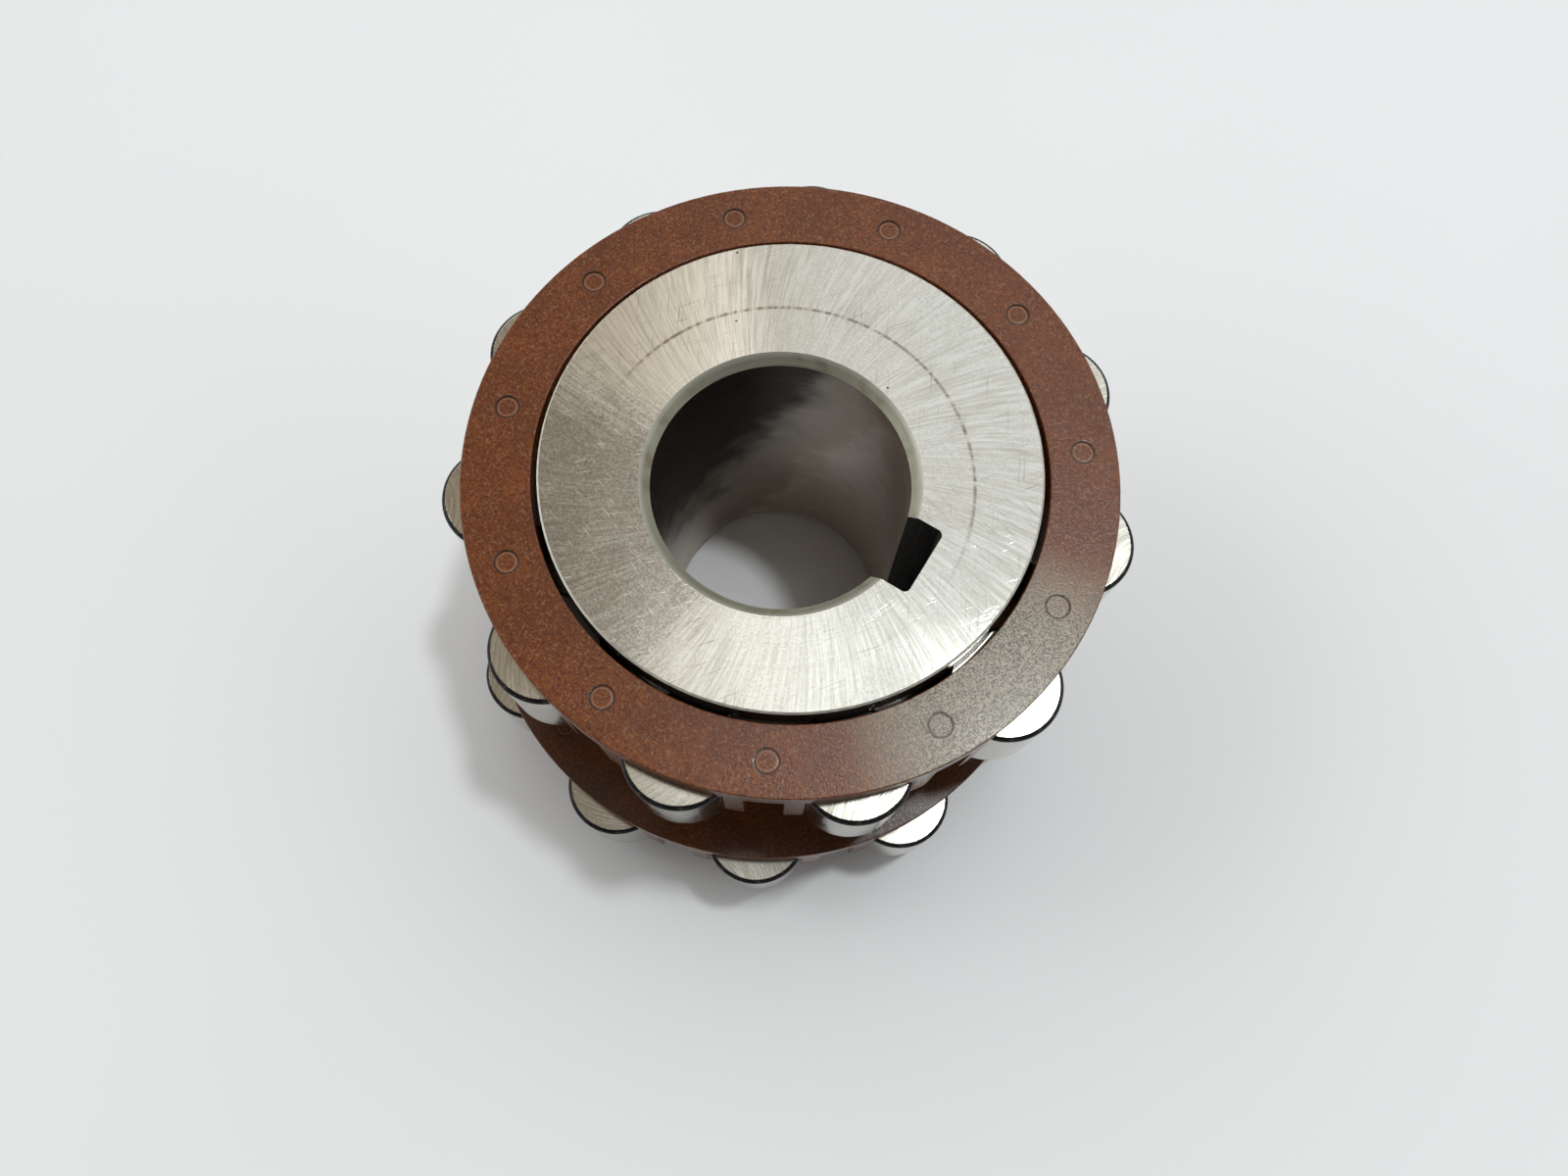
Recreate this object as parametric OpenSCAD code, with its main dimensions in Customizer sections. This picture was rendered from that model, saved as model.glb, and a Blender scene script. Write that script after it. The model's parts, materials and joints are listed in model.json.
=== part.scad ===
// Eccentric bearing: one ribbed inner ring carries two rows of rollers whose axes lie on
// opposite sides of the bore axis, each row in its own moulded cage, with no outer ring.
// Both cages stand the same way up, with the full end ring above their rollers.
// Millimetres. The origin is on the bore axis at mid width, +Z runs along the bore,
// +X points to the keyway and +Y to the side where the upper row stands out furthest.

/* [Inner ring] */
// Bore diameter
bore_d = 25; // [22:0.5:28]
// Width over the two end faces
ring_w = 42; // [40:0.5:50]
// Distance from the bore axis to the axis of each row
eccentricity = 1.9; // [0.5:0.1:3]
// Width of the rib beside each end face
rib_w = 3.8; // [3:0.1:5]
// Height of the ribs above the raceways
rib_h = 1.1; // [0.6:0.05:1.4]
// Chamfer at both ends of the bore
bore_chamfer = 1; // [0.4:0.1:1.6]
// Chamfer on the edges of the ribs
rib_chamfer = 0.2; // [0.1:0.05:0.45]
// Width of the grinding relief in each raceway corner
relief_w = 0.7; // [0.4:0.1:1.2]
// Depth of the grinding relief below the raceway
relief_depth = 0.3; // [0.1:0.05:0.5]

/* [Keyway] */
// Width of the keyway
key_w = 7; // [5:0.5:9]
// Depth of the keyway below the bore wall
key_depth = 3.3; // [2:0.1:4]
// Radius in the two bottom corners of the keyway
key_corner = 0.6; // [0.2:0.1:1]

/* [Rollers] */
// Diameter over the rollers of one row
over_rollers_d = 68.2; // [64:0.1:76]
// Roller diameter
roller_d = 11; // [9:0.5:11.5]
// Roller length
roller_l = 11; // [9:0.5:12]
// Radius on the edge of each roller end
roller_round = 0.45; // [0.2:0.05:1]
// Rollers in each row
roller_count = 11; // [9:1:11]
// Angle from +X to the first roller of the upper row
upper_start = 19; // [0:0.5:360]
// Angle from +X to the first roller of the lower row
lower_start = 4.5; // [0:0.5:360]

/* [Cages] */
// How far the rollers stand out of the cage
roller_proud = 2.5; // [2:0.05:3.2]
// Space between a rib and the cage around it
rib_gap = 0.72; // [0.4:0.02:1.2]
// How far the upper cage lies below the ring's end face
cage_recess = 0.9; // [0.3:0.1:1.5]
// Width of the lower end ring, which is the smaller one
foot_w = 2.9; // [2:0.1:3.5]
// How far the lower end ring lies inside the cage's outer surface
foot_step = 2.4; // [2:0.1:3.2]
// Radius on the edges of the cage
cage_round = 0.14; // [0.05:0.01:0.3]
// Length of the two lips on each pillar, from the top of the pocket
lip_l = 8.8; // [6:0.1:10]
// Chamfer that leads a roller in between the lips
lead_in = 0.3; // [0.1:0.05:0.5]
// Width of the groove in each pillar, between its two lips
groove_w = 3.8; // [2:0.1:4]
// Depth of the groove in each pillar
groove_depth = 2.2; // [1.9:0.1:3]
// Diameter of the ejector marks
mark_d = 2.2; // [1:0.1:3]
// Depth of the ejector marks
mark_depth = 0.12; // [0.05:0.01:0.3]

/* [Clearances] */
// Between a roller and its raceway
race_gap = 0.03; // [0.01:0.01:0.08]
// Between each end of a roller and the rib beside it
rib_end_gap = 0.1; // [0.05:0.01:0.2]
// Between a roller and the wall of its pocket
pocket_gap = 0.15; // [0.05:0.01:0.25]
// Between each end of a roller and the end of its pocket
pocket_end_gap = 0.15; // [0.05:0.01:0.25]

/* [Hidden] */
$fn = 96;
// Margin by which a cutter passes the surface that it cuts, and one shape runs into another
over = 1;

bore_r = bore_d / 2;
half_w = ring_w / 2;
key_floor = bore_r + key_depth;

roller_r = roller_d / 2;
pitch_r = over_rollers_d / 2 - roller_r;
pitch_angle = 360 / roller_count;

race_r = pitch_r - roller_r - race_gap;
race_w = roller_l + 2 * rib_end_gap;
rib_r = race_r + rib_h;
row_z = half_w - rib_w - race_w / 2;

pocket_r = roller_r + pocket_gap;
pocket_w = roller_l + 2 * pocket_end_gap;
cage_outer_r = over_rollers_d / 2 - roller_proud;
cage_bore_r = rib_r + rib_gap;
cage_top = half_w - cage_recess - row_z;
cage_bottom = -pocket_w / 2 - foot_w;
lip_bottom = pocket_w / 2 - lip_l;
foot_r = cage_outer_r - foot_step;
mark_r = (cage_bore_r + cage_outer_r) / 2;
// Tip of a lip, where the pocket meets the cage's outer surface, seen along the row's axis
tip_x = (cage_outer_r ^ 2 + pitch_r ^ 2 - pocket_r ^ 2) / (2 * pitch_r);
tip_y = sqrt(cage_outer_r ^ 2 - tip_x ^ 2);

UPPER = 1;
LOWER = -1;

function roller_name(row, k) = str(row, "_roller_", k < 10 ? "0" : "", k);

// The row's own frame: its axis and the middle of its rollers
module in_row(side) {
    translate([0, side * eccentricity, side * row_z]) children();
}

module at_angle(angle, radius) {
    rotate([0, 0, angle]) translate([radius, 0, 0]) children();
}

// Half of the inner ring in section, from mid width to the end face
module half_ring_section() {
    race_low = row_z - race_w / 2;
    race_high = row_z + race_w / 2;
    relief_r = race_r - relief_depth;
    polygon([
        [0, 0],
        [rib_r - rib_chamfer, 0],
        [rib_r, rib_chamfer],
        [rib_r, race_low - rib_chamfer],
        [rib_r - rib_chamfer, race_low],
        [relief_r, race_low],
        [relief_r, race_low + relief_w / 2],
        [race_r, race_low + relief_w],
        [race_r, race_high - relief_w],
        [relief_r, race_high - relief_w / 2],
        [relief_r, race_high],
        [rib_r - rib_chamfer, race_high],
        [rib_r, race_high + rib_chamfer],
        [rib_r, half_w - rib_chamfer],
        [rib_r - rib_chamfer, half_w],
        [0, half_w],
    ]);
}

module half_ring(side) {
    translate([0, side * eccentricity, 0])
        mirror([0, 0, side == LOWER ? 1 : 0])
            rotate_extrude() half_ring_section();
}

module bore_cut() {
    cylinder(r = bore_r, h = ring_w + 2 * over, center = true);
    for (turn = [0, 180])
        rotate([turn, 0, 0]) translate([0, 0, half_w - bore_chamfer])
            cylinder(r1 = bore_r, r2 = bore_r + bore_chamfer + over, h = bore_chamfer + over);
}

module keyway_section() {
    translate([0, -key_w / 2]) square([key_floor - key_corner, key_w]);
    translate([0, key_corner - key_w / 2]) square([key_floor, key_w - 2 * key_corner]);
    for (side = [-1, 1])
        translate([key_floor - key_corner, side * (key_w / 2 - key_corner)]) circle(r = key_corner);
}

module inner_ring() {
    color("silver") difference() {
        union() {
            half_ring(UPPER);
            half_ring(LOWER);
        }
        bore_cut();
        translate([0, 0, -half_w - over]) linear_extrude(ring_w + 2 * over) keyway_section();
    }
}

// Right half of a roller in section, with round edges
module roller_section() {
    half_l = roller_l / 2;
    translate([0, -half_l]) square([roller_r - roller_round, roller_l]);
    translate([0, roller_round - half_l]) square([roller_r, roller_l - 2 * roller_round]);
    for (end = [-1, 1])
        translate([roller_r - roller_round, end * (half_l - roller_round)])
            intersection() {
                circle(r = roller_round);
                translate([0, -roller_round]) square(2 * roller_round);
            }
}

module roller(side, angle) {
    color("gainsboro") in_row(side) at_angle(angle, pitch_r) rotate_extrude() roller_section();
}

// Rectangle with round corners, from one corner to the other
module round_rectangle(low, high, radius) {
    size = high - low;
    translate([low.x + radius, low.y]) square([size.x - 2 * radius, size.y]);
    translate([low.x, low.y + radius]) square([size.x, size.y - 2 * radius]);
    for (x = [low.x + radius, high.x - radius])
        for (y = [low.y + radius, high.y - radius])
            translate([x, y]) circle(r = radius);
}

// The cage in section: full width down to the ends of the lips, and a smaller foot below them
module cage_section() {
    round_rectangle([cage_bore_r, lip_bottom], [cage_outer_r, cage_top], cage_round);
    round_rectangle([cage_bore_r, cage_bottom], [foot_r, lip_bottom + over], cage_round);
}

// The pocket of a roller, with a mouth that opens at 45 degrees
module pocket() {
    apex = tip_x - tip_y - lead_in;
    mouth_x = cage_outer_r + over;
    translate([pitch_r, 0, 0]) cylinder(r = pocket_r, h = pocket_w, center = true);
    translate([0, 0, -pocket_w / 2]) linear_extrude(pocket_w)
        polygon([[apex, 0], [mouth_x, apex - mouth_x], [mouth_x, mouth_x - apex]]);
}

// The groove leaves a springy lip on each side of a pillar, which holds the roller in
module pillar_groove() {
    floor_x = cage_outer_r - groove_depth + groove_w / 2;
    translate([0, 0, -pocket_w / 2]) linear_extrude(pocket_w) {
        translate([floor_x, 0]) circle(d = groove_w);
        translate([floor_x, -groove_w / 2]) square([groove_depth + over, groove_w]);
    }
}

module cage(side, start) {
    color("saddlebrown") in_row(side) difference() {
        rotate_extrude() cage_section();
        for (k = [0:roller_count - 1]) {
            rotate([0, 0, start + k * pitch_angle]) pocket();
            rotate([0, 0, start + (k + 0.5) * pitch_angle]) {
                pillar_groove();
                translate([mark_r, 0, cage_top - mark_depth]) cylinder(d = mark_d, h = over);
            }
        }
    }
}

inner_ring();
cage(UPPER, upper_start);  // upper_cage
cage(LOWER, lower_start);  // lower_cage
for (k = [1:roller_count]) {
    turn = (k - 1) * pitch_angle;
    roller(UPPER, upper_start + turn);
    roller(LOWER, lower_start + turn);
}
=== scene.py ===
"""Looks of an eccentric roller bearing: finishes, floor, light and camera around its solids."""
import json
import math

import bpy
from mathutils import Matrix, Vector

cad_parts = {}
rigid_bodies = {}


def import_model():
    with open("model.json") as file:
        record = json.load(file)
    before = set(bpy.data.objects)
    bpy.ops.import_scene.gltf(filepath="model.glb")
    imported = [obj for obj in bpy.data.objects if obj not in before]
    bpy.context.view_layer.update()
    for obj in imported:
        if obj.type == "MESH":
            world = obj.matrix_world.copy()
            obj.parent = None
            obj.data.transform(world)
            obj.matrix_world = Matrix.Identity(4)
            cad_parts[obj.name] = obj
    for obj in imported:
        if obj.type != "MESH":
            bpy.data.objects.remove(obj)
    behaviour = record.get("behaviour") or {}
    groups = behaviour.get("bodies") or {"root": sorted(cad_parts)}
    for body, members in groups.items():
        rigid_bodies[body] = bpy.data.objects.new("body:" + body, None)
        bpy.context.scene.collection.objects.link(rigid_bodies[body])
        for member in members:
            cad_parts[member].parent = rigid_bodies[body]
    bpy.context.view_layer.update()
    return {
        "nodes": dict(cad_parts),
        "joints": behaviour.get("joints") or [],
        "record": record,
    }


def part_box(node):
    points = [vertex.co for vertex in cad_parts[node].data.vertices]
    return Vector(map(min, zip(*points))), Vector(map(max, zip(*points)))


for start_object in list(bpy.data.objects):
    bpy.data.objects.remove(start_object)
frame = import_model()

MM = 0.001
PER_METRE = 1 / MM

# Sizes that the finishes follow, in millimetres, read from the frame
RING_LOW, RING_HIGH = (corner * PER_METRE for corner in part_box("inner_ring"))
ROLLER_LOW, ROLLER_HIGH = (corner * PER_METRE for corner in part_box("upper_roller_01"))
MOUNTS = {mount["name"]: mount for mount in frame["record"]["mounts"]}
JOINTS = {joint["name"]: Vector(joint["pos_m"]) * PER_METRE for joint in frame["joints"]}
BORE_RADIUS = MOUNTS["shaft_bore"]["dims"]["r_mm"]
KEY_FLOOR = MOUNTS["keyway"]["pos_m"][0] * PER_METRE
HALF_WIDTH = RING_HIGH.z
ROLLER_SIZE = ROLLER_HIGH - ROLLER_LOW
ROLLERS_PER_ROW = sum("upper_roller" in node for node in frame["nodes"])
PITCH_ANGLE = math.tau / ROLLERS_PER_ROW

# Sizes that the frame doesn't give, in millimetres, as in the part's source
KEY_HALF_WIDTH = 3.5
RIB_GAP = 0.72
CAGE_BORE_RADIUS = 24.9
MARK_CIRCLE = 28.25
MARK_RADIUS = 1.1

# How far a face may lie from a surface, in millimetres, and still be counted as part of it
NEAR = 0.06
NEAR_CHAMFER = 1.5
NEAR_CAGE_TOP = 0.3

# Upright part of a normal, over which a face counts as level and under which as upright
LEVEL = 0.95
UPRIGHT = 0.3
ROLLER_LEVEL = 0.99
ROLLER_UPRIGHT = 0.02
CAGE_LEVEL = 0.9

# Camera at the photograph's place and turn
CAMERA_PLACE = Vector((21.469, -37.193, 124.406)) * MM
CAMERA_AZIMUTH = math.radians(28.91)
CAMERA_ELEVATION = math.radians(72.704)
CAMERA_TURN = math.radians(2.935)
LENS = 27.05


def as_seen(right, away, up=0.0):
    """A direction in the frame from one given as the camera sees it: right, away and up."""
    return Matrix.Rotation(CAMERA_AZIMUTH, 3, "Z") @ Vector((right, away, up))


# Where round the axis the top view shows a special finish, or painted light and shade
BESIDE_KEYWAY = as_seen(0.92, -0.39)
DULL_AND_SHADED_SIDE = as_seen(-0.97, -0.24)
HIGHLIGHT_FAN = as_seen(-0.66, 0.75)
WORN_CIRCLE = as_seen(0.45, 0.89)
BORE_DARK_REFLECTION = as_seen(-0.75, 0.66)
UNSHADED_GAP = as_seen(0.78, -0.62)
WORN_AND_SHEEN_CAGE = as_seen(0.69, -0.72)

# Colours, linear
STEEL_PALE = (0.63, 0.625, 0.58, 1)
STEEL_BRIGHT = (0.94, 0.92, 0.84, 1)
STEEL_MID = (0.47, 0.455, 0.405, 1)
STEEL_DARK = (0.17, 0.15, 0.122, 1)
ROLLER_PALE = (0.64, 0.625, 0.56, 1)
ROLLER_MID = (0.50, 0.48, 0.42, 1)
BORE_PALE = (0.78, 0.71, 0.63, 1)
BORE_MID = (0.64, 0.57, 0.50, 1)
STAIN_BROWN = (0.15, 0.095, 0.055, 1)
# Black for scale specks, and for painted shade and dark reflections
SCALE_AND_SHADE_BLACK = (0.010, 0.008, 0.009, 1)
CHAMFER_GREEN = (0.32, 0.315, 0.24, 1)
RESIN_BROWN = (0.165, 0.043, 0.007, 1)
RESIN_DEEP = (0.080, 0.018, 0.004, 1)
RESIN_FLECK = (0.26, 0.13, 0.07, 1)
RESIN_WORN_SHEEN = (0.37, 0.345, 0.255, 1)
RESIN_SHADE_BLACK = (0.030, 0.015, 0.008, 1)
FLOOR_PALE = (0.77, 0.77, 0.78, 1)
FLOOR_SHADE = (0.755, 0.755, 0.765, 1)
LAMP_WHITE = (0.93, 0.99, 1.0)
ROOM_WARM = (1.0, 0.84, 0.65, 1)
ROOM_WHITE = (0.98, 1.0, 1.0, 1)


class Graph:
    """Short calls that add shader nodes: each returns the output socket that the next call takes."""

    def __init__(self, tree):
        self.tree = tree

    def add(self, kind, inputs=None, **settings):
        node = self.tree.nodes.new(kind)
        for key, value in settings.items():
            setattr(node, key, value)
        for slot, value in (inputs or {}).items():
            self.feed(node.inputs[slot], value)
        return node

    def feed(self, socket, value):
        if isinstance(value, bpy.types.NodeSocket):
            self.tree.links.new(value, socket)
        else:
            socket.default_value = value

    def math(self, operation, a, b=0.0):
        return self.add("ShaderNodeMath", {0: a, 1: b}, operation=operation).outputs[0]

    def plus(self, a, b):
        return self.math("ADD", a, b)

    def minus(self, a, b):
        return self.math("SUBTRACT", a, b)

    def times(self, a, b):
        return self.math("MULTIPLY", a, b)

    def apart(self, a, b):
        return self.math("ABSOLUTE", self.minus(a, b))

    def vector(self, operation, a, b=(0, 0, 0)):
        return self.add("ShaderNodeVectorMath", {0: a, 1: b}, operation=operation).outputs[0]

    def scaled(self, vector, factor):
        return self.vector("MULTIPLY", vector, (factor,) * 3)

    def length(self, vector):
        node = self.add("ShaderNodeVectorMath", {0: vector}, operation="LENGTH")
        return node.outputs["Value"]

    def dot(self, a, b):
        node = self.add("ShaderNodeVectorMath", {0: a, 1: b}, operation="DOT_PRODUCT")
        return node.outputs["Value"]

    def parts(self, vector):
        return self.add("ShaderNodeSeparateXYZ", {0: vector}).outputs[:]

    def join(self, x=0.0, y=0.0, z=0.0):
        return self.add("ShaderNodeCombineXYZ", {0: x, 1: y, 2: z}).outputs[0]

    def turn(self, vector, angle):
        node = self.add("ShaderNodeVectorRotate", {"Vector": vector, "Angle": angle})
        node.rotation_type = "Z_AXIS"
        return node.outputs[0]

    def noise(self, vector, scale=1.0, detail=2.0, roughness=0.5):
        inputs = {"Vector": vector, "Scale": scale, "Detail": detail, "Roughness": roughness}
        return self.add("ShaderNodeTexNoise", inputs).outputs["Fac"]

    def ramp(self, value, low, high, start=0.0, end=1.0):
        """A number that goes smoothly from start to end while a value goes from low to high."""
        inputs = {"Value": value, "From Min": low, "From Max": high, "To Min": start, "To Max": end}
        return self.add("ShaderNodeMapRange", inputs, interpolation_type="SMOOTHSTEP").outputs[0]

    def blend(self, share, a, b):
        """A number between two others."""
        return self.add("ShaderNodeMix", {0: share, 2: a, 3: b}, data_type="FLOAT").outputs[0]

    def mix(self, share, a, b):
        """A colour between two others."""
        node = self.add("ShaderNodeMix", data_type="RGBA")
        self.feed(node.inputs[0], share)
        self.feed(node.inputs[6], a)
        self.feed(node.inputs[7], b)
        return node.outputs[2]

    def millimetres(self):
        """Place on the part at rest."""
        return self.scaled(self.add("ShaderNodeTexCoord").outputs["Object"], PER_METRE)

    def posed_millimetres(self):
        """Place in the frame, wherever the part has moved to."""
        return self.scaled(self.add("ShaderNodeNewGeometry").outputs["Position"], PER_METRE)

    def round_axis(self, place):
        """(distance from the Z axis, unit direction away from it) of a place."""
        flat = self.vector("MULTIPLY", place, (1, 1, 0))
        return self.length(flat), self.vector("NORMALIZE", flat)

    def drawn_lines(self, outward, around, level, along, detail=3.0, roughness=0.6):
        """Noise drawn out into lines: it changes with the way round an axis, and with the level."""
        lifted = self.join(z=self.times(level, along))
        place = self.vector("ADD", self.scaled(outward, around), lifted)
        return self.noise(place, detail=detail, roughness=roughness)

    def bump(self, height, depth):
        """Normals of a surface whose height runs over a depth in millimetres."""
        return self.add("ShaderNodeBump", {"Height": height, "Distance": depth * MM}).outputs[0]


class Finish(Graph):
    """A material with one Principled shader, whose sockets set() feeds by name."""

    def __init__(self, name, **constants):
        self.material = bpy.data.materials.new(name)
        self.material.use_nodes = True
        super().__init__(self.material.node_tree)
        self.shader = self.tree.nodes["Principled BSDF"]
        for socket, value in constants.items():
            self.set(socket, value)

    def set(self, socket, value):
        self.feed(self.shader.inputs[socket.replace("_", " ")], value)


def fine_lines(g, place, degrees, along=0.20):
    """Straight scratches that run one way across a face, shorter as along grows."""
    across = 6.0
    stretched = g.vector("MULTIPLY", g.turn(place, math.radians(degrees)), (across, along, 1))
    return g.ramp(g.noise(stretched, detail=3.0, roughness=0.6), 0.58, 0.70)


def ring_face():
    """End face: ground steel with radial scratches, a duller side darkened by painted shade, a fan of
    painted highlight, a worn circle and handling marks.
    """
    worn_radius = 18.4
    swirl = 0.010
    scratches_around = 75
    streaks_around = 55
    g = Finish("ring_face", Metallic=1.0, Anisotropic=0.4, Anisotropic_Rotation=0.25)
    place = g.millimetres()
    radius, outward = g.round_axis(place)
    patch = g.noise(place, scale=0.16, detail=3.0)
    grain = g.noise(place, scale=5.5, detail=3.0, roughness=0.7)

    # Grinding lines that run outwards, and broader streaks between them
    swirled = g.turn(outward, g.times(radius, swirl))
    scratches = g.drawn_lines(swirled, scratches_around, radius, along=0.20, roughness=0.65)
    streaks = g.drawn_lines(swirled, streaks_around, radius, along=0.20)
    bold = g.ramp(scratches, 0.52, 0.70)

    # Straight scratches from handling, more of them beside the keyway
    hatch = g.math("MAXIMUM", fine_lines(g, place, 37), fine_lines(g, place, -28))
    hatch = g.times(hatch, g.ramp(patch, 0.40, 0.58))
    beside_key = g.ramp(g.dot(outward, BESIDE_KEYWAY), 0.84, 0.97)
    hatch = g.math("MAXIMUM", hatch, g.times(fine_lines(g, place, 106), beside_key))

    # Turning rings near the bore
    rings = g.drawn_lines(outward, around=1.6, level=radius, along=6.0, detail=2.0)
    rings = g.ramp(rings, 0.56, 0.70)
    rings = g.times(rings, g.ramp(radius, 15.5, 18.5, 1.0, 0.0))

    # Worn circle, broken and strongest on the far side
    broken = g.noise(g.scaled(swirled, scratches_around), scale=0.35, detail=3.0, roughness=0.6)
    worn = g.ramp(g.apart(radius, worn_radius), 0.05, 0.26, 1.0, 0.0)
    worn = g.times(worn, g.ramp(g.dot(outward, WORN_CIRCLE), -0.10, 0.45, 0.12, 1.0))
    worn = g.times(worn, g.ramp(broken, 0.30, 0.62))

    # A few dark specks
    cells = g.add("ShaderNodeTexVoronoi", {"Vector": place, "Scale": 0.24})
    chosen = g.ramp(g.parts(cells.outputs["Color"])[0], 0.78, 0.80)
    specks = g.times(g.ramp(cells.outputs["Distance"], 0.02, 0.045, 1.0, 0.0), chosen)

    # A duller side darkened by painted shade and a fan of painted highlight, both with ragged edges,
    # and short bright nicks on the duller side
    ragged = g.times(g.minus(streaks, 0.5), 0.30)
    dull_and_shaded = g.ramp(g.plus(g.dot(outward, DULL_AND_SHADED_SIDE), ragged), 0.58, 0.80)
    highlight_side = g.ramp(g.plus(g.dot(outward, HIGHLIGHT_FAN), ragged), 0.80, 0.95)
    highlight_fan = g.times(highlight_side, g.ramp(scratches, 0.38, 0.60, 0.60, 1.0))
    nicks = g.math("MAXIMUM", fine_lines(g, place, 48, 0.35), fine_lines(g, place, 112, 0.35))
    nicks = g.times(nicks, g.ramp(g.noise(place, scale=0.45, detail=1.0), 0.42, 0.58, 0.0, 0.90))
    nicks = g.times(nicks, dull_and_shaded)

    radial = g.ramp(dull_and_shaded, 0.0, 1.0, 1.0, 0.50)
    lined = g.times(g.ramp(patch, 0.36, 0.62, 0.30, 0.75), radial)
    ground = g.blend(lined, grain, scratches)
    colour = g.mix(g.ramp(ground, 0.36, 0.64), STEEL_MID, STEEL_PALE)
    colour = g.mix(g.times(bold, 0.45), colour, STEEL_PALE)
    # Painted highlight: a fan of bright streaks on one side
    colour = g.mix(highlight_fan, colour, STEEL_BRIGHT)
    colour = g.mix(g.times(g.ramp(streaks, 0.54, 0.76, 0.0, 0.22), radial), colour, STEEL_DARK)
    # Painted shade on the duller side, over a rougher grind
    colour = g.mix(g.times(dull_and_shaded, g.ramp(ground, 0.60, 0.40, 0.16, 0.50)), colour, STEEL_DARK)
    colour = g.mix(g.times(hatch, 0.45), colour, STEEL_DARK)
    colour = g.mix(nicks, colour, STEEL_BRIGHT)
    colour = g.mix(g.times(worn, 0.75), colour, STAIN_BROWN)
    g.set("Base_Color", g.mix(g.times(specks, 0.85), colour, SCALE_AND_SHADE_BLACK))

    roughness = g.plus(g.ramp(patch, 0.30, 0.70, 0.095, 0.120), g.times(bold, 0.02))
    g.set("Roughness", g.plus(roughness, g.times(dull_and_shaded, 0.06)))

    height = g.times(g.times(scratches, 0.8), radial)
    height = g.plus(height, g.times(grain, 0.3))
    height = g.minus(height, g.times(hatch, 0.35))
    height = g.minus(height, g.times(rings, 0.45))
    g.set("Normal", g.bump(height, depth=0.004))
    g.set("Tangent", g.add("ShaderNodeTangent", direction_type="RADIAL", axis="Z").outputs[0])
    return g.material


def ring_rim():
    """Chamfers on the edges of the ribs: bright and rough from grinding."""
    g = Finish("ring_rim", Metallic=1.0)
    mottle = g.noise(g.millimetres(), scale=1.5, detail=3.0)
    g.set("Base_Color", g.mix(g.ramp(mottle, 0.35, 0.65), ROLLER_MID, ROLLER_PALE))
    g.set("Roughness", g.ramp(mottle, 0.3, 0.7, 0.42, 0.55))
    g.set("Normal", g.bump(mottle, depth=0.004))
    return g.material


def ring_chamfer():
    """Chamfer at the bore's mouth: satin turned steel with a green cast, paler at its outer edge with a
    painted highlight.
    """
    g = Finish("ring_chamfer", Metallic=0.9)
    place = g.millimetres()
    radius, outward = g.round_axis(place)
    turned = g.drawn_lines(outward, around=2.5, level=radius, along=9.0)
    patch = g.noise(place, scale=0.5, detail=3.0)
    colour = g.mix(g.ramp(turned, 0.35, 0.70, 0.05, 0.50), CHAMFER_GREEN, STEEL_DARK)
    colour = g.mix(g.ramp(patch, 0.52, 0.75, 0.0, 0.45), colour, STAIN_BROWN)
    # Painted highlight along the chamfer's outer edge
    edge = g.ramp(g.minus(radius, BORE_RADIUS), 0.50, 0.95, 0.0, 0.40)
    g.set("Base_Color", g.mix(edge, colour, STEEL_PALE))
    g.set("Roughness", g.ramp(patch, 0.3, 0.7, 0.50, 0.62))
    g.set("Normal", g.bump(turned, depth=0.006))
    return g.material


def ring_bore():
    """Bore wall: honed steel with brown stains, under a painted dark reflection that reaches lower on
    one side.
    """
    dark_reflection_per_mm = 0.028
    stain_middle = 0.52
    g = Finish("ring_bore", Metallic=1.0)
    place = g.millimetres()
    outward = g.round_axis(place)[1]
    z = g.parts(place)[2]
    honed = g.drawn_lines(outward, around=3.0, level=z, along=5.0, roughness=0.65)
    stains = g.noise(g.vector("MULTIPLY", place, (0.17, 0.17, 0.20)), detail=3.0)
    stains_and_dark_reflection = g.plus(g.dot(outward, BORE_DARK_REFLECTION), g.times(z, dark_reflection_per_mm))
    stains_and_dark_reflection = g.plus(stains_and_dark_reflection, g.times(g.minus(stains, 0.5), 0.80))
    brown = g.ramp(g.apart(stains_and_dark_reflection, stain_middle), 0.02, 0.34, 0.50, 0.08)
    colour = g.mix(g.ramp(honed, 0.35, 0.70), BORE_MID, BORE_PALE)
    colour = g.mix(brown, colour, STAIN_BROWN)
    # Painted dark reflection, darkest high up and on one side
    g.set("Base_Color", g.mix(g.ramp(stains_and_dark_reflection, 0.48, 1.08, 0.0, 0.96), colour, SCALE_AND_SHADE_BLACK))
    g.set("Roughness", g.ramp(honed, 0.30, 0.70, 0.26, 0.38))
    g.set("Normal", g.bump(honed, depth=0.003))
    return g.material


def ring_keyway_shade():
    """Keyway: broached walls, painted black with the shade inside the slot."""
    g = Finish("ring_keyway_shade", Metallic=0.6)
    broached_at = g.vector("MULTIPLY", g.millimetres(), (5.0, 5.0, 0.12))
    broached = g.noise(broached_at, detail=3.0, roughness=0.6)
    g.set("Base_Color", g.mix(g.ramp(broached, 0.60, 0.80, 0.0, 0.25), SCALE_AND_SHADE_BLACK, STEEL_DARK))
    g.set("Roughness", g.ramp(broached, 0.3, 0.7, 0.42, 0.60))
    g.set("Normal", g.bump(broached, depth=0.02))
    return g.material


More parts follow.
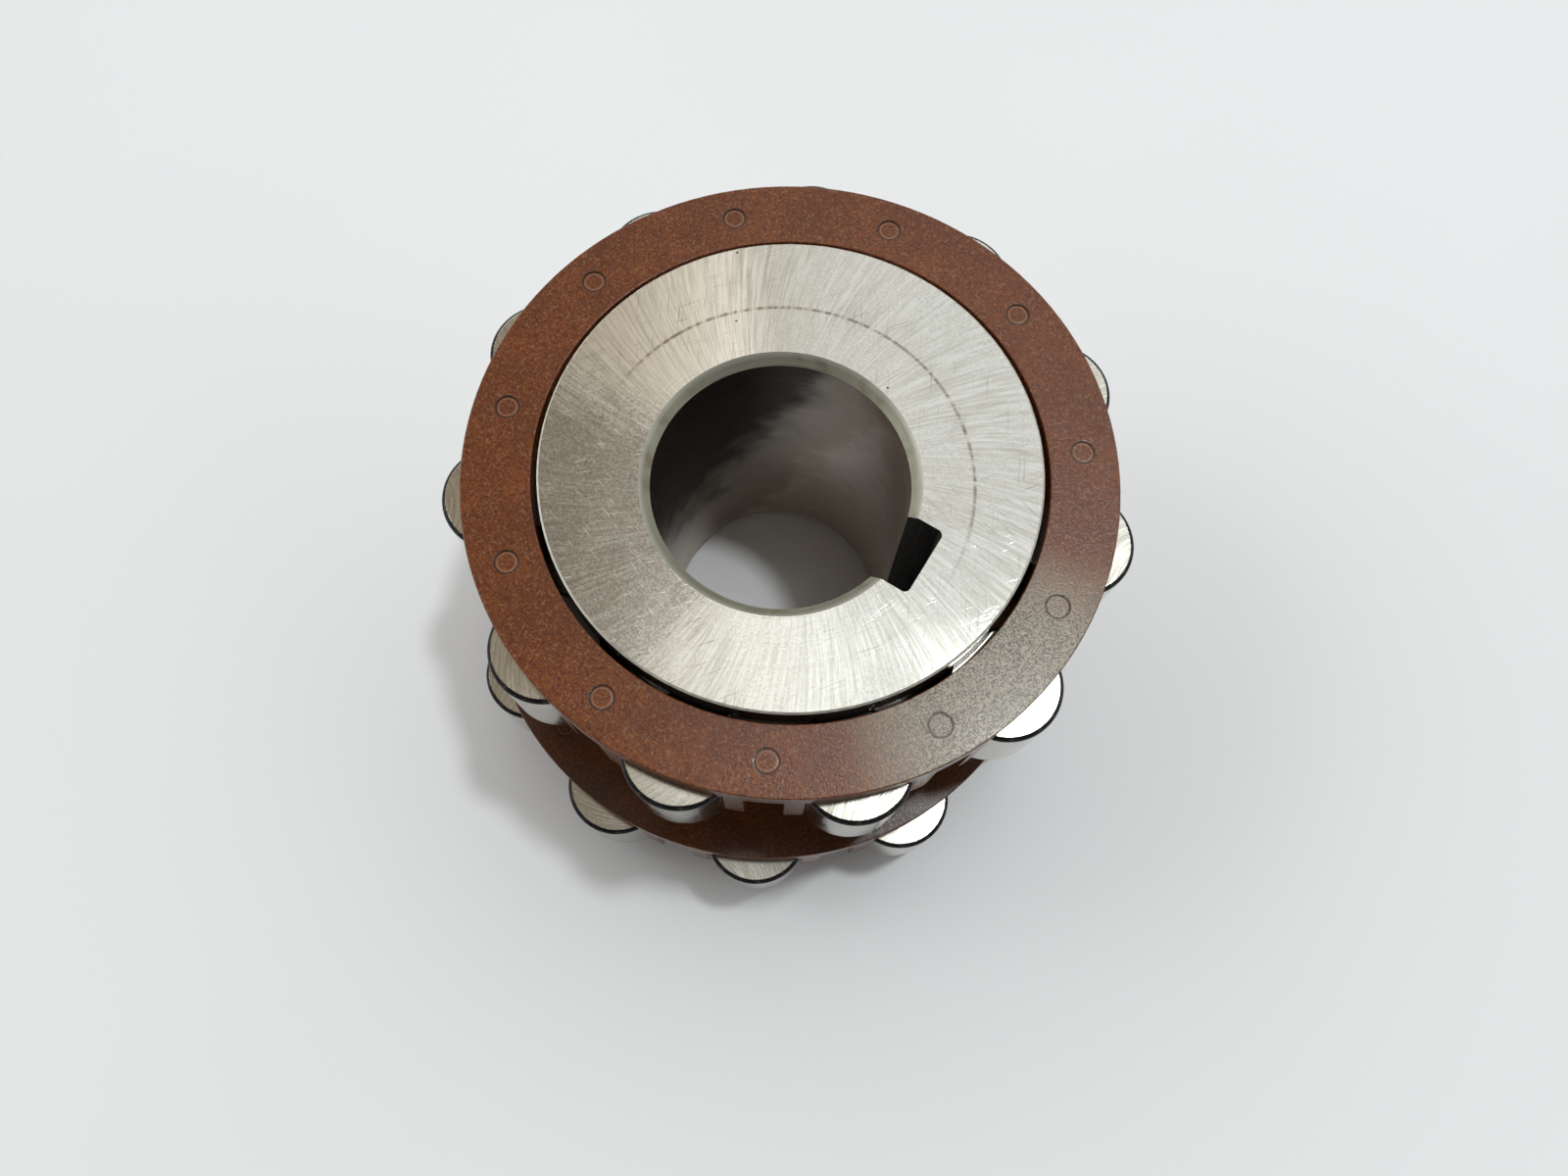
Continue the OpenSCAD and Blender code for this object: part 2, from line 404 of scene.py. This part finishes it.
def ring_track():
    """Raceways and ribs: finely ground, with lines that run round."""
    g = Finish("ring_track", Metallic=1.0)
    place = g.millimetres()
    outward = g.round_axis(place)[1]
    ground = g.drawn_lines(outward, around=2.0, level=g.parts(place)[2], along=9.0)
    g.set("Base_Color", g.mix(g.ramp(ground, 0.30, 0.72), STEEL_MID, STEEL_PALE))
    g.set("Roughness", g.ramp(ground, 0.3, 0.7, 0.17, 0.27))
    g.set("Normal", g.bump(ground, depth=0.003))
    return g.material


def roller_place(g):
    """Place from the roller's own middle, in millimetres."""
    share = g.add("ShaderNodeTexCoord").outputs["Generated"]
    return g.vector("MULTIPLY", g.vector("SUBTRACT", share, (0.5, 0.5, 0.5)), ROLLER_SIZE)


def roller_chance(g):
    """The roller's own random number, from 0 to 1."""
    return g.add("ShaderNodeObjectInfo").outputs["Random"]


def gap_shade(g):
    """Share of painted shade on a roller end: full in the gap beside the ring, but for one line left
    unshaded where a reflection shows.
    """
    gap_middle = CAGE_BORE_RADIUS - RIB_GAP / 2
    place = g.posed_millimetres()
    row = g.math("SIGN", g.parts(place)[2])
    axis = g.join(y=g.times(row, JOINTS["upper_cage_spin"].y))
    radius, outward = g.round_axis(g.vector("SUBTRACT", place, axis))
    unshaded = g.ramp(g.dot(outward, UNSHADED_GAP), 0.975, 0.985)
    unshaded = g.times(unshaded, g.ramp(g.apart(radius, gap_middle), 0.05, 0.10, 1.0, 0.0))
    in_gap = g.ramp(radius, CAGE_BORE_RADIUS + 0.1, CAGE_BORE_RADIUS + 0.4, 0.97, 0.0)
    return g.times(in_gap, g.minus(1.0, unshaded))


def roller_end():
    """Roller ends: ground bright, in arcs, with painted shade in the lower row and in the gap beside
    the ring.
    """
    arc_middle = (9.0, 0.0, 0.0)
    lower_row_shade_share = 0.15
    g = Finish("roller_end", Metallic=1.0, Anisotropic=0.3)
    place = roller_place(g)
    chance = roller_chance(g)
    turned = g.turn(place, g.times(chance, math.tau))
    arc = g.round_axis(g.vector("SUBTRACT", turned, arc_middle))[0]
    along = g.times(g.parts(turned)[1], 0.3)
    lines_at = g.join(g.times(arc, 7.0), along, g.times(chance, 40.0))
    lines = g.noise(lines_at, detail=3.0, roughness=0.6)
    grain = g.noise(place, scale=5.0)
    lower_row_shade = g.ramp(g.parts(g.posed_millimetres())[2], -2.0, 2.0, lower_row_shade_share, 0.0)
    colour = g.mix(g.ramp(lines, 0.35, 0.65), ROLLER_MID, ROLLER_PALE)
    colour = g.mix(g.ramp(grain, 0.55, 0.80, 0.0, 0.4), colour, STEEL_DARK)
    # Painted shade on the lower row's ends
    colour = g.mix(lower_row_shade, colour, STEEL_DARK)
    # Painted shade in the gap beside the ring
    g.set("Base_Color", g.mix(gap_shade(g), colour, SCALE_AND_SHADE_BLACK))
    g.set("Roughness", g.ramp(lines, 0.3, 0.7, 0.13, 0.19))
    g.set("Normal", g.bump(lines, depth=0.005))
    return g.material


def roller_edge_dark_reflection():
    """Rounded roller edges: painted dark, a painted reflection of dark surroundings."""
    g = Finish("roller_edge_dark_reflection", Metallic=0.8)
    mottle = g.noise(roller_place(g), scale=2.2, detail=3.0)
    g.set("Base_Color", g.mix(g.ramp(mottle, 0.50, 0.78, 0.0, 0.35), SCALE_AND_SHADE_BLACK, STEEL_DARK))
    g.set("Roughness", g.ramp(mottle, 0.3, 0.7, 0.32, 0.48))
    g.set("Normal", g.bump(mottle, depth=0.01))
    return g.material


def roller_side():
    """Running surface of a roller: polished, with fine lines round it and an oily bloom."""
    g = Finish("roller_side", Metallic=1.0)
    place = roller_place(g)
    outward = g.round_axis(place)[1]
    level = g.plus(g.parts(place)[2], g.times(roller_chance(g), 50.0))
    lines = g.drawn_lines(outward, around=1.0, level=level, along=9.0)
    bloom = g.noise(place, scale=0.45, detail=3.0)
    colour = g.mix(g.ramp(lines, 0.10, 0.90), ROLLER_MID, ROLLER_PALE)
    g.set("Base_Color", g.mix(g.ramp(bloom, 0.55, 0.80, 0.0, 0.20), colour, STAIN_BROWN))
    g.set("Roughness", g.ramp(bloom, 0.3, 0.7, 0.09, 0.16))
    g.set("Normal", g.bump(lines, depth=0.0008))
    return g.material


def off_marks(g, place, row):
    """Distance in millimetres from the middle of the nearest ejector mark of a row's cage."""
    axis = JOINTS[row + "_cage_spin"]
    first = JOINTS[row + "_roller_01_spin"] - axis
    start = math.atan2(first.y, first.x)
    x, y = g.parts(g.vector("SUBTRACT", place, (axis.x, axis.y, 0)))[:2]
    radius = g.length(g.join(x, y))
    turn = g.minus(g.math("ARCTAN2", y, x), start - math.tau)
    share = g.math("FRACT", g.math("DIVIDE", turn, PITCH_ANGLE))
    across = g.times(g.minus(share, 0.5), PITCH_ANGLE * MARK_CIRCLE)
    return g.length(g.join(across, g.minus(radius, MARK_CIRCLE)))


def mark_line(g, off, radius, strength):
    """A thin circle round an ejector mark."""
    return g.ramp(g.apart(off, radius), 0.05, 0.15, strength, 0.0)


def cage_resin(row, zone):
    """Cage: brown moulded resin with pale specks of filler. Its top face has ejector marks, each ringed
    by a painted lit line and a painted shade line, is worn grey with painted sheen and dark specks at
    one place on the upper cage, and darkened with painted shade on the lower one."""
    painted_lit_line = MARK_RADIUS - 0.20
    painted_shade_line = MARK_RADIUS + 0.04
    # Painted shade: the lower cage is darker all over
    deepest = 0.55 if row == "upper" else 0.95
    g = Finish("_".join((row, "cage", zone)), Specular_IOR_Level=0.36)
    place = g.millimetres()
    cloud = g.noise(place, scale=0.20, detail=4.0)
    grain = g.noise(place, scale=3.4, detail=3.0, roughness=0.75)
    fine = g.noise(place, scale=3.8, roughness=0.6)
    pits = g.ramp(grain, 0.46, 0.57)
    specks = g.ramp(g.noise(place, scale=6.2, roughness=0.6), 0.44, 0.58)
    colour = g.mix(g.ramp(cloud, 0.32, 0.68, 0.0, deepest), RESIN_BROWN, RESIN_DEEP)
    colour = g.mix(g.ramp(grain, 0.45, 0.58, 0.0, 0.95), colour, RESIN_DEEP)
    colour = g.mix(g.ramp(fine, 0.54, 0.66, 0.0, 0.48), colour, RESIN_FLECK)
    height = g.minus(g.times(fine, 0.3), g.times(pits, 0.4))
    height = g.minus(height, g.times(specks, 0.5))

    if zone == "top":
        off = off_marks(g, place, row)
        # Painted highlight: a pale line inside each ejector mark
        colour = g.mix(mark_line(g, off, painted_lit_line, 0.60), colour, RESIN_FLECK)
        if row == "upper":
            # Grey wear with painted sheen and painted dark specks at one side of the upper cage
            outward = g.round_axis(g.vector("SUBTRACT", place, JOINTS["upper_cage_spin"]))[1]
            worn = g.ramp(g.dot(outward, WORN_AND_SHEEN_CAGE), 0.84, 1.0)
            colour = g.mix(g.times(worn, 0.70), colour, RESIN_WORN_SHEEN)
            colour = g.mix(g.times(g.times(worn, specks), 0.88), colour, RESIN_SHADE_BLACK)
        else:
            # Painted shade on the lower cage's top, between the rows
            colour = g.mix(g.ramp(cloud, 0.30, 0.70, 0.60, 0.70), colour, RESIN_SHADE_BLACK)
        # Painted shade: a dark line round each ejector mark
        colour = g.mix(mark_line(g, off, painted_shade_line, 0.90), colour, RESIN_SHADE_BLACK)
        height = g.minus(height, mark_line(g, off, MARK_RADIUS, 1.2))

    g.set("Base_Color", colour)
    g.set("Roughness", g.ramp(grain, 0.30, 0.72, 0.165, 0.215))
    g.set("Normal", g.bump(height, depth=0.009))
    return g.material


def ring_zone(centre, normal):
    """Name of the ring's surface that a face lies on."""
    reach = math.hypot(centre.x, centre.y)
    level = abs(normal.z) > LEVEL
    upright = abs(normal.z) < UPRIGHT
    slanted = not level and not upright
    in_keyway = centre.x > 0 and abs(centre.y) < KEY_HALF_WIDTH + NEAR
    if level and abs(centre.z) > HALF_WIDTH - NEAR:
        return "face"
    if upright and reach < BORE_RADIUS + NEAR:
        return "bore"
    if slanted and reach < BORE_RADIUS + NEAR_CHAMFER:
        return "chamfer"
    if upright and in_keyway and centre.x < KEY_FLOOR + NEAR:
        return "keyway"
    return "rim" if slanted else "track"


def roller_zone(centre, normal):
    """Name of the roller's surface that a face lies on."""
    if abs(normal.z) > ROLLER_LEVEL:
        return "end"
    return "side" if abs(normal.z) < ROLLER_UPRIGHT else "edge"


def cage_zone(node):
    """A function that names the surface of a cage that a face lies on."""
    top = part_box(node)[1][2] * PER_METRE

    def zone(centre, normal):
        return "top" if normal.z > CAGE_LEVEL and centre.z > top - NEAR_CAGE_TOP else "body"
    return zone


def dress(node, finishes, zone):
    """Gives each face of a node the finish of the zone that it lies in."""
    mesh = frame["nodes"][node].data
    names = list(finishes)
    mesh.materials.clear()
    for name in names:
        mesh.materials.append(finishes[name])
    for face in mesh.polygons:
        face.material_index = names.index(zone(face.center * PER_METRE, face.normal))


RING_FINISHES = {
    "face": ring_face(),
    "bore": ring_bore(),
    "chamfer": ring_chamfer(),
    "keyway": ring_keyway_shade(),
    "rim": ring_rim(),
    "track": ring_track(),
}
ROLLER_FINISHES = {"end": roller_end(), "edge": roller_edge_dark_reflection(), "side": roller_side()}
CAGE_FINISHES = {
    row: {zone: cage_resin(row, zone) for zone in ("top", "body")} for row in ("upper", "lower")
}

for node in frame["nodes"]:
    if "roller" in node:
        dress(node, ROLLER_FINISHES, roller_zone)
    elif "cage" in node:
        dress(node, CAGE_FINISHES[node.split("_")[0]], cage_zone(node))
    else:
        dress(node, RING_FINISHES, ring_zone)


def pale_floor():
    """A flat floor of pale paper under the ring's lower face."""
    reach = 3.0
    level = RING_LOW.z * MM
    mesh = bpy.data.meshes.new("floor")
    corners = [(-reach, -reach), (reach, -reach), (reach, reach), (-reach, reach)]
    mesh.from_pydata([(x, y, level) for x, y in corners], [], [(0, 1, 2, 3)])
    g = Finish("floor_paper", Roughness=0.75)
    cloud = g.noise(g.millimetres(), scale=0.01)
    g.set("Base_Color", g.mix(g.ramp(cloud, 0.3, 0.7), FLOOR_SHADE, FLOOR_PALE))
    mesh.materials.append(g.material)
    floor = bpy.data.objects.new("floor", mesh)
    bpy.context.scene.collection.objects.link(floor)


def soft_box(name, towards, distance, size, power):
    """A round lamp in that direction from the object, facing it."""
    lamp = bpy.data.lights.new(name, "AREA")
    lamp.shape = "DISK"
    lamp.size = size
    lamp.energy = power
    lamp.color = LAMP_WHITE
    towards = towards.normalized()
    box = bpy.data.objects.new(name, lamp)
    facing = towards.to_track_quat("Z", "Y").to_matrix().to_4x4()
    box.matrix_world = Matrix.Translation(towards * distance) @ facing
    bpy.context.scene.collection.objects.link(box)


def pale_room():
    """Light from all round: walls dark on the camera's side, and a ceiling darkest on the left."""
    seen_level = 0.92
    least_mirrored = 0.40
    world = bpy.data.worlds.new("room")
    bpy.context.scene.world = world
    world.use_nodes = True
    g = Graph(world.node_tree)
    direction = g.add("ShaderNodeTexCoord").outputs["Generated"]
    up = g.parts(direction)[2]
    right = g.dot(direction, as_seen(1, 0))
    away = g.dot(direction, as_seen(0, 1))
    across = g.ramp(right, -0.28, 0.12)
    ceiling = g.ramp(across, 0.0, 1.0, 0.38, 1.12)
    ceiling = g.times(ceiling, g.ramp(away, -0.02, 0.16, 0.12, 1.0))
    walls = g.ramp(away, -0.75, 0.05, 0.05, 1.25)
    walls = g.times(walls, g.ramp(right, -0.95, -0.10, 1.7, 1.0))
    overhead = g.ramp(up, 0.62, 0.84)
    warm = g.times(overhead, g.minus(1.0, across))
    path = g.add("ShaderNodeLightPath").outputs
    walls = g.blend(path["Is Glossy Ray"], walls, g.math("MAXIMUM", walls, least_mirrored))
    level = g.blend(overhead, walls, ceiling)
    level = g.blend(path["Is Camera Ray"], level, seen_level)
    background = world.node_tree.nodes["Background"]
    g.feed(background.inputs["Color"], g.mix(warm, ROOM_WHITE, ROOM_WARM))
    g.feed(background.inputs["Strength"], level)


def photo_camera():
    """The camera, where the photograph was taken from."""
    data = bpy.data.cameras.new("camera")
    data.lens = LENS
    data.clip_start = MM
    camera = bpy.data.objects.new("camera", data)
    camera.matrix_world = (
        Matrix.Translation(CAMERA_PLACE)
        @ Matrix.Rotation(CAMERA_AZIMUTH, 4, "Z")
        @ Matrix.Rotation(math.pi / 2 - CAMERA_ELEVATION, 4, "X")
        @ Matrix.Rotation(CAMERA_TURN, 4, "Z")
    )
    bpy.context.scene.collection.objects.link(camera)
    bpy.context.scene.camera = camera


pale_floor()
soft_box("key_lamp", as_seen(0.26, 0.12, 1.0), distance=1.2, size=0.10, power=4.7)
soft_box("ceiling_lamp", as_seen(-0.03, 0.20, 1.0), distance=1.25, size=0.30, power=0.14)
soft_box("side_lamp", as_seen(-0.84, 0.2, 1.0), distance=1.5, size=0.4, power=1.2)
pale_room()
photo_camera()
bpy.context.scene.view_settings.view_transform = "Standard"
